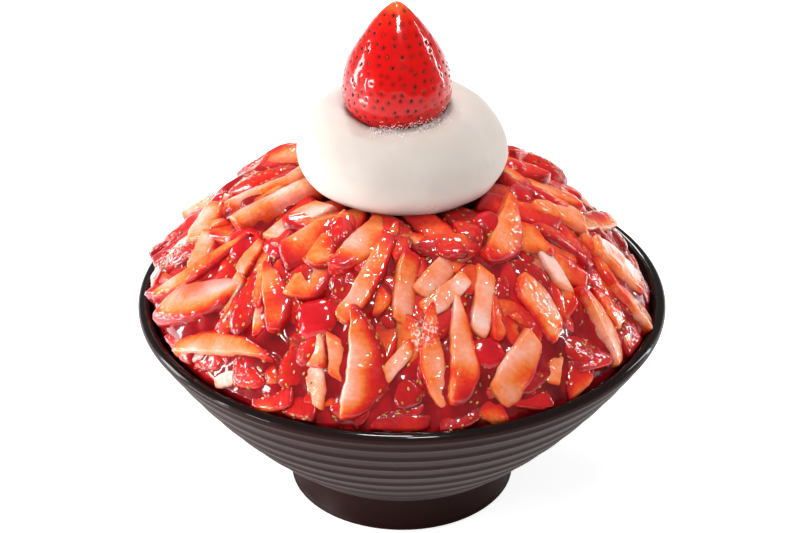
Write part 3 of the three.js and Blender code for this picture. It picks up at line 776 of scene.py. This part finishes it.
def level_at(tops, points):
    """Reads the smoothed tops at points, straight between the cells' middles."""
    place = clip(points[..., :2] / TOPS_CELL + TOPS_CELLS / 2 - 0.5, 0, TOPS_CELLS - 1.001)
    low = place.astype(int)
    x, y = np.moveaxis(place - low, -1, 0)
    i, j = low[..., 0], low[..., 1]
    near = tops[i, j] * (1 - x) + tops[i + 1, j] * x
    far = tops[i, j + 1] * (1 - x) + tops[i + 1, j + 1] * x
    return near * (1 - y) + far * y


def frost_at(points):
    """How frosted points are, also where glints are painted on them: from 1 in the middle of such a place to
    0 at its edge.
    """
    frost = np.zeros(points.shape[:-1])
    for angle, distance, radius in FROST_AND_GLINT_PLACES:
        middle = from_axis(distance, radians(angle), 0)
        apart = np.linalg.norm((points - middle)[..., :2], axis=-1)
        frost = maximum(frost, 1 - smoothstep(apart, 0.3 * radius, radius))
    return frost


SEED_PIT_RADIUS = 0.85
SEED_PIT_DEPTH = 0.25
SEED_SUNK = 0.1
# What is added to the flesh value: at the skin, along the edges, in patches, and at both ends.
SKIN_RED, EDGE_RED, PATCH_RED, END_RED = 0.36, 0.18, 0.16, 0.26


def cut_fruit(pieces, grid_size, first):
    """Cuts and lays the fruit: a surface and its values for each piece, and all the seeds on its skin.

    The flesh value is 0 at the pale core and 1 at the skin, and grows with the power 1.3 of the way
    across. The grain is a point's place in its own piece, so that the fibres run from its core to its skin.
    Seeds come as points and frames: lengthways, across, outwards.
    """
    rows, columns = grid_size
    along = (0.5 - 0.5 * cos(pi * linspace(0, 1, rows)))[:, None]
    above = radians(linspace(0, 180, columns - COLUMNS_BELOW))
    below = radians(linspace(180, 360, COLUMNS_BELOW + 2)[1:-1])
    around = concatenate([above, below])[None, :]
    made, seed_points, seed_frames = [], [], []
    for number, row in enumerate(pieces, first):
        kind, angle, distance, heading, length, width, left, right, lift, fall = (*row, 0, 0)[:10]
        random = np.random.default_rng(1000 + number)
        lift += HEAPED_UP * (distance < SCOOP_FOOT)
        centre, axes, depth = laid_frame(kind, angle, distance, heading, width, lift)
        length, width = SPREAD * length, SPREAD * width
        skin_side = 1 if right >= left else -1
        bend = random.uniform(-0.03, 0.05) * length
        roll = radians(random.uniform(-22, 22)) if kind != "ball" else 0
        skew = KINDS[kind]["skew"] * random.uniform(-1, 1)
        widest = random.uniform(0.45, 0.78)
        pitch = radians(random.uniform(-9, 6)) if kind != "ball" else 0
        rolled = [[1, 0, 0], [0, cos(roll), -sin(roll)], [0, sin(roll), cos(roll)]]
        pitched = [[cos(pitch), 0, sin(pitch)], [0, 1, 0], [-sin(pitch), 0, cos(pitch)]]
        tilt = array(rolled) @ array(pitched)

        def surface(s, t):
            points = cut_form(kind, length, width, depth, skin_side, skew, widest, s, t)
            points[..., 1] += bend * (1 - (2 * points[..., 0] / length) ** 2) - bend / 2
            return points @ tilt.T

        local = surface(along, around)
        own = random.uniform(0, 500, 3)
        normals = grid_normals(local)
        # the cut sides waver as a whole, and then the surface is uneven
        outline = xyz(local[..., 0], np.sign(local[..., 1]), 0) + own
        waver = 0.018 * width * lumps(outline, 10.0, number) + 0.14 * lumps(outline, 3.5, number + 700)
        local[..., 1] += waver * abs(cos(around))
        uneven = 0.15 * lumps(local + own, 9.0, number + 300) + 0.05 * lumps(local + own, 3.0, number + 500)
        local = local + normals * uneven[..., None]
        seeds = seeds_on(kind, length, width, left, right, random)
        if len(seeds):
            s, t = seeds.T
            centres = surface(s, t)
            pit = SEED_PIT_DEPTH * pits(local, centres, SEED_PIT_RADIUS)
            local = local - normals * pit[..., None]
            frames = frames_on(surface, s, t, 0.01)
            seed_points.append(keep_inside(centre + (centres - SEED_SUNK * frames[:, 2]) @ axes))
            seed_frames.append(frames @ axes)
        place = keep_inside(centre + local @ axes)
        near, far = local[..., 1].min(axis=1, keepdims=True), local[..., 1].max(axis=1, keepdims=True)
        side = 2 * (local[..., 1] - near) / maximum(far - near, 1e-6) - 1
        skin = smoothstep(side * skin_side, 0.6, 1) if max(left, right) > 0.42 else 0
        to_skin = (0.5 + 0.5 * side * skin_side) ** 1.3
        flesh = min(left, right) + abs(right - left) * to_skin + fall * (local[..., 0] / length)
        edge = abs(side) ** 4 * (0.5 + 0.5 * lumps(local + own, 7.0, number + 200))
        flesh = flesh + SKIN_RED * skin + EDGE_RED * edge + PATCH_RED * lumps(local + own, 15.0, number)
        flesh = flesh + END_RED * smoothstep(abs(2 * along - 1), 0.6, 1)
        flesh = clip(flesh + random.uniform(-0.05, 0.05), 0, DARKEST_FLESH)
        under = smoothstep(local[..., 2].max(1, keepdims=True) - local[..., 2], 0.7, 3.5)
        made.append({"kind": kind, "place": place, "flesh": flesh, "grain": local + own, "under": under})
    return made, concatenate(seed_points), concatenate(seed_frames)


def make_seeds(name, points, frames, size, material, slot, node, tint):
    """Seeds as flattened drops: a ball of few faces, longer towards one end, laid on its own frame."""
    polar, turn = linspace(0, pi, 6)[:, None], once_round(6)
    reach = sin(polar) * (1 - 0.25 * cos(polar))
    ball = xyz(-cos(polar), reach * cos(turn), reach * sin(turn))
    random = np.random.default_rng(7)
    scale = array(size) / 2 * random.uniform(0.8, 1.2, (len(points), 1))
    grids = laid_on(points, frames, ball[None] * scale[:, None, None, :])
    shade = clip(tint + random.uniform(-0.25, 0.25, len(points)), 0, 1)
    values = {"tint": shade[:, None, None] + 0 * grids[..., 0]}
    finish_piece(name, grids, values, material, slot, node)


# ---- syrup between the fruit ----
def make_syrup(tops):
    """Core of ice and syrup under the fruit: the bowl's inside below, and a lumpy wet surface above.

    This stands at the mound's height and the smoothed tops together, less a gap that is smaller near the
    rim. Its rows are returned.
    """
    columns, rings = 460, 92
    wall = inner_wall(linspace(0, 0.97, 12), SYRUP_CLEARANCE)
    distance = CORE_RADIUS * linspace(1, 0, rings)[:, None] ** 0.75
    angles = once_round(columns)
    around = np.arctan2(cos(angles), -sin(angles))
    top = xyz(distance * cos(angles), distance * sin(angles), mound_height(distance, around))
    below_tops = SYRUP_BELOW_TOPS - SYRUP_FULLER * smoothstep(distance, FULLER_FROM, FULLEST_AT)
    top[..., 2] += (level_at(smoothed(tops), top) - below_tops
                    + 0.5 * lumps(top, 7.0, 1) + 0.1 * lumps(top, 3.5, 2))
    sides = lathe(np.vstack([[0, wall[0, 1] - 0.2], wall]), columns)
    grid = concatenate([sides, top])
    grid[-1] = grid[-1].mean(0)
    jelly = syrup_jelly("strawberry_syrup", ["#60060e", "#8c0a12", "#b01218"], 3.5)
    finish_piece("syrup_and_ice_core", grid[None], {}, jelly, "fruit", "fruit_heap")
    return grid[len(wall) + 1:]


def loose_seeds(syrup, count):
    """Seeds that have come off the fruit: drawn places on the syrup's surface, lying flat on it."""
    random = np.random.default_rng(9)
    row = random.integers(2, len(syrup) - 20, count)
    column = random.integers(0, syrup.shape[1] - 1, count)
    here, beside, inner = syrup[row, column], syrup[row, column + 1], syrup[row + 1, column]
    out = unit(cross(beside - here, inner - here))
    along = unit(cross(out, random.normal(size=(count, 3))))
    return here + 0.1 * out, stack([along, cross(out, along), out], axis=1)


def fruit_piece(name, made, tops, material):
    """One mesh of all the given pieces.

    Soak is how far a point lies below the tops round it, or down the side of its own piece.
    """
    places, flesh, grain, sides = [stack([each[key] for each in made])
                                   for key in ("place", "flesh", "grain", "under")]
    sunk = smoothstep(level_at(tops, places) - over_mound(places), 0.1, 2.4)
    values = {"flesh": flesh, "grain": grain, "soak": maximum(sunk, 0.8 * sides),
              "frost": frost_at(places)}
    finish_piece(name, places, values, material, "fruit", "fruit_heap")


def make_heap():
    shown, shown_points, shown_frames = cut_fruit(PLACED + back_pieces(), SHOWN_GRID, 0)
    sunk, sunk_points, sunk_frames = cut_fruit(under_pieces(), SUNK_GRID, 1000)
    tops = fruit_tops(concatenate([each["place"].reshape(-1, 3) for each in shown + sunk]))
    fruit = cut_strawberry()
    lumpy = syrup_jelly("strawberry_jelly_lumps", ["#a80e18", "#c4141e", "#d41c22"], 5.0)
    names = {"wedge": "strawberry_wedges", "baton": "strawberry_batons", "slice": "strawberry_slices",
             "cheek": "strawberry_cheeks", "half": "strawberry_halves", "ball": "syrup_lumps"}
    for kind, name in names.items():
        of_kind = [each for each in shown if each["kind"] == kind]
        fruit_piece(name, of_kind, tops, lumpy if kind == "ball" else fruit)
    fruit_piece("cut_strawberries_below", sunk, tops, fruit)
    loose_points, loose_frames = loose_seeds(make_syrup(tops), LOOSE_SEEDS)
    make_seeds("fruit_seeds", concatenate([shown_points, sunk_points, loose_points]),
               concatenate([shown_frames, sunk_frames, loose_frames]), SEED_SIZE,
               seed_husk("strawberry_seed_husk", 0.6), "fruit", "fruit_heap", 0.55)


# ---- the ice cream ----
def scoop_top(distance):
    """Height of the scoop's top, a round shoulder over its waist.

    It rises with the sine of a turn, while the distance shrinks with a power of the turn's cosine.
    """
    turn = np.arccos(clip(distance / CREAM_RADIUS, 0, 1) ** (1 / CREAM_ROUNDNESS))
    return CREAM_WAIST + CREAM_ABOVE * sin(turn)


def scoop_below(turn):
    """Radius and height of the scoop's underside, from its waist at 0 to its foot at a quarter turn.

    The radius shrinks with a power of the turn's cosine, and the height falls with its sine.
    """
    return CREAM_RADIUS * cos(turn) ** CREAM_ROUNDNESS, CREAM_WAIST - CREAM_BELOW * sin(turn)


def cream_lift(x, y, rise):
    """What the tilt towards the back and the berry's weight add to the height of the scoop's top.

    The berry presses it in, and squeezes up a low collar, a bell curve, round itself.
    """
    from_berry = hypot(x - BERRY_CENTRE[0], y - BERRY_CENTRE[1])
    pressed = (rise > 0) * (1 - smoothstep(from_berry, CREAM_DIMPLE_RADIUS, CREAM_CREST_RADIUS))
    squeezed_up = (rise > 0) * exp(-((from_berry - COLLAR_RADIUS) / COLLAR_WIDTH) ** 2)
    return CREAM_TILT * y * rise - CREAM_DIMPLE_DEPTH * pressed + COLLAR_HEIGHT * squeezed_up


def make_cream():
    """The scoop: its profile turned, pressed in by the berry, tilted up towards the back and uneven."""
    below = stack(scoop_below(pi / 2 * (1 - linspace(0, 1, 40))), axis=-1)
    reach = CREAM_RADIUS * sin(linspace(pi / 2, 0, 110))[1:]
    above = stack([reach, scoop_top(reach)], axis=-1)
    grid = lathe(np.vstack([below, above]), 220)
    angle = np.arctan2(grid[..., 1], grid[..., 0])
    rise = maximum(0, (grid[..., 2] - CREAM_WAIST) / CREAM_ABOVE)
    grid[..., 2] += cream_lift(grid[..., 0], grid[..., 1], rise)
    stretch = 1 + 0.01 * cos(2 * angle + 0.6) + 0.006 * cos(3 * angle + 2)
    grid[..., :2] *= stretch[..., None]
    uneven = 0.25 * lumps(grid, 20.0, 11) + 0.05 * lumps(grid, 5.0, 12)
    grid = grid + grid_normals(grid) * uneven[..., None]
    grid[0], grid[-1] = grid[0].mean(0), grid[-1].mean(0)
    finish_piece("ice_cream_scoop", grid[None], {}, milk_ice_cream(), "ice_cream", "ice_cream")


# ---- the whole strawberry ----
def berry_form(rise, angle):
    """The berry's surface from 0 at its base to 1 at its tip and an angle round it.

    The radius tapers with the square of the rise, and is rounded off at the base and at the tip.
    """
    taper = 1 - BERRY_TAPER * rise ** 2
    base = np.sqrt(maximum(0, 1 - maximum(0, 1 - rise) ** BERRY_BASE_POWER))
    tip = np.sqrt(maximum(0, 1 - clip(rise, 0, 1) ** BERRY_TIP_POWER))
    radius = BERRY_RADIUS * taper * base * tip
    height = BERRY_BASE + (BERRY_TIP - BERRY_BASE) * rise
    return xyz(BERRY_CENTRE[0] + radius * cos(angle), BERRY_CENTRE[1] + radius * sin(angle), height)


def berry_seed_places():
    """Seeds in staggered rows up the berry, a row every few mm and fewer towards the tip."""
    random = np.random.default_rng(21)
    places = []
    for row in range(BERRY_SEED_ROWS):
        rise = 0.06 + 0.9 * (row + 0.5) / BERRY_SEED_ROWS
        radius = hypot(*(berry_form(array(rise), array(0.0))[:2] - BERRY_CENTRE))
        count = max(4, int(2 * pi * radius / BERRY_SEED_SPACING))
        angle = 2 * pi * (arange(count) + 0.5 * (row % 2) + 0.12 * random.normal(size=count)) / count
        places.append(stack([rise + 0.012 * random.normal(size=count), angle], axis=-1))
    return concatenate(places).T


def make_berry():
    """The berry with a pit at each seed, a bell curve pushed in along the normal.

    It is less ripe at the tip; low at the left a cooler red is painted as a reflection of the ice cream. Its
    skin is crinkled high at the front left.
    """
    rise = (0.5 - 0.5 * cos(linspace(0, pi, 160)))[:, None]
    angle = once_round(220)
    grid = berry_form(rise, angle)
    normals = grid_normals(grid)
    grid = grid + normals * (0.16 * lumps(grid, 15.0, 31) + 0.02 * lumps(grid, 5.0, 32))[..., None]
    seed_rise, seed_angle = berry_seed_places()
    centres = berry_form(seed_rise, seed_angle)
    pit = pits(grid, centres, BERRY_PIT_RADIUS)
    grid = grid - normals * (BERRY_PIT_DEPTH * pit)[..., None]
    height = (grid[..., 2] - BERRY_BASE) / (BERRY_TIP - BERRY_BASE)
    # painted reflection: low at the left the skin is painted a cooler red, as where it mirrors the ice cream
    painted_cream_reflection = smoothstep(-grid[..., 0] - 20 * height, -4, 12)
    ripeness_and_painted_reflection = 0.62 - 0.58 * smoothstep(height, 0.8, 1.03) + 0.25 * painted_cream_reflection
    front_left = 1 - smoothstep(abs(np.degrees(angle) - 240), 10, 45)
    crinkle = 2 * front_left * smoothstep(height, 0.6, 0.75) * (1 - smoothstep(height, 0.9, 1))
    grid[0], grid[-1] = grid[0].mean(0), grid[-1].mean(0)
    values = {"ripeness_and_painted_reflection": ripeness_and_painted_reflection[None], "crinkle": crinkle[None], "pit": pit[None]}
    finish_piece("whole_strawberry", grid[None], values, whole_strawberry_skin(), "strawberry", "strawberry")
    frames = frames_on(berry_form, seed_rise, seed_angle, 0.005)
    make_seeds("whole_strawberry_seeds", centres - BERRY_SEED_SUNK * frames[:, 2], frames, BERRY_SEED_SIZE,
               seed_husk("dark_seed_husk", 0.2), "strawberry", "strawberry", 0.06)


# ---- frost ----
FROST_ON_CREAM, FROST_ON_BERRY, FROST_UNDER_SCOOP = 700, 450, 260 # grains


def make_frost():
    """Frost round the berry's foot and under the scoop's right edge: grains with eight faces each.

    They are thickest where the berry meets the ice cream and thin out from there, as a bell curve does.
    """
    random = np.random.default_rng(41)
    around = radians(random.uniform(-30, 80, FROST_ON_CREAM))
    away = BERRY_FOOT_RADIUS + abs(random.normal(0, 2.4, FROST_ON_CREAM))
    x, y = BERRY_CENTRE[0] + away * sin(around), BERRY_CENTRE[1] - away * cos(around)
    top = scoop_top(hypot(x, y))
    on_cream = xyz(x, y, top + cream_lift(x, y, (top - CREAM_WAIST) / CREAM_ABOVE))
    rise = 0.12 + 0.05 * abs(random.normal(size=FROST_ON_BERRY))
    on_berry = berry_form(rise, radians(random.uniform(-110, -20, FROST_ON_BERRY)))
    around = radians(random.uniform(15, 80, FROST_UNDER_SCOOP))
    away, height = scoop_below(radians(42 - abs(random.normal(0, 7, FROST_UNDER_SCOOP))))
    points = concatenate([on_cream, on_berry, from_axis(away, around, height)])
    along = unit(random.normal(size=points.shape))
    across = unit(cross(along, random.normal(size=points.shape)))
    frames = stack([along, across, cross(along, across)], axis=1)
    corner = array([[1.0, 0, 0], [0, 1, 0], [0, 0, 1], [0, -1, 0], [0, 0, -1], [-1, 0, 0]])
    grain = stack([corner[[0] * 4], corner[1:5], corner[[5] * 4]])[::-1]
    size = random.uniform(0.14, 0.36, (len(points), 1, 1, 1))
    grids = laid_on(points, frames, size * grain[None])
    finish_piece("frost_grains", grids, {}, ice_crystal(), "ice_cream", "ice_cream")


# ---- floor, light and camera ----
def add_to_stage(name, made, location, towards):
    """Puts a light or a camera at a place, looking along a direction."""
    holder = bpy.data.objects.new(name, made)
    holder.location = location
    holder.rotation_mode = "QUATERNION"
    holder.rotation_quaternion = towards.to_track_quat("-Z", "Y")
    bpy.context.scene.collection.objects.link(holder)
    return holder


def area_light(name, location, width, height, watts, target=(0, 0, 0.12)):
    light = bpy.data.lights.new(name, "AREA")
    light.shape = "RECTANGLE"
    light.size, light.size_y = width, height
    light.energy = watts
    add_to_stage(name, light, location, Vector(target) - Vector(location))


def make_floor():
    """A plain pale floor, far wider than the view."""
    corners = 3000 * array([[-1, -1, 0], [1, -1, 0], [1, 1, 0], [-1, 1, 0]])
    floor = mesh_object("floor", corners, [(0, 1, 2, 3)], {})
    material, _, shader = new_material("pale_floor")
    fill(shader, {"Base Color": linear("#e4e4e4"), "Roughness": 0.9, "Emission Color": linear("#ffffff"),
                  "Emission Strength": 0.8})
    floor.data.materials.append(material)


def make_light():
    """Narrow windows and strips for the long glints, and soft light from above. Places are in metres."""
    world = bpy.data.worlds.new("studio")
    bpy.context.scene.world = world
    world.use_nodes = True
    background = world.node_tree.nodes["Background"].inputs
    background["Color"].default_value = linear("#ffffff")
    background["Strength"].default_value = 0.22
    area_light("left_window", (-0.64, 0.12, 0.2), 0.15, 0.3, 2.6)
    area_light("left_strip", (-0.65, -0.21, 0.2), 0.05, 0.24, 1.0)
    area_light("left_front", (-0.57, -0.39, 0.24), 0.12, 0.09, 0.9)
    area_light("painted_cream_reflection", (-0.34, -0.1, 0.03), 0.12, 0.04, 0.35, (-0.07, -0.03, 0.05))
    area_light("right_strip", (0.6, 0.24, 0.22), 0.035, 0.5, 1.3)
    area_light("overhead", (-0.05, 0.0, 1.0), 0.16, 0.16, 4.6)
    area_light("front_top", (0.1, -0.48, 0.95), 0.14, 0.14, 3.6)
    area_light("behind", (-0.15, 0.6, 0.62), 0.16, 0.16, 2.0)


def make_camera():
    """Looks down at the object from the front, a little over 30 degrees above the floor."""
    elevation, away = radians(30.37), 0.8
    target = Vector((-0.00072, 0, 0.0869))
    back = Vector((0, -cos(elevation), sin(elevation)))
    camera = bpy.data.cameras.new("camera")
    camera.sensor_width, camera.lens = 36, 100.15
    bpy.context.scene.camera = add_to_stage("camera", camera, target + back * away, -back)
    bpy.context.scene.view_settings.view_transform = "Standard"


make_camera()
make_light()
make_floor()
make_bowl()
make_heap()
make_cream()
make_berry()
make_frost()

bpy.context.view_layer.update()
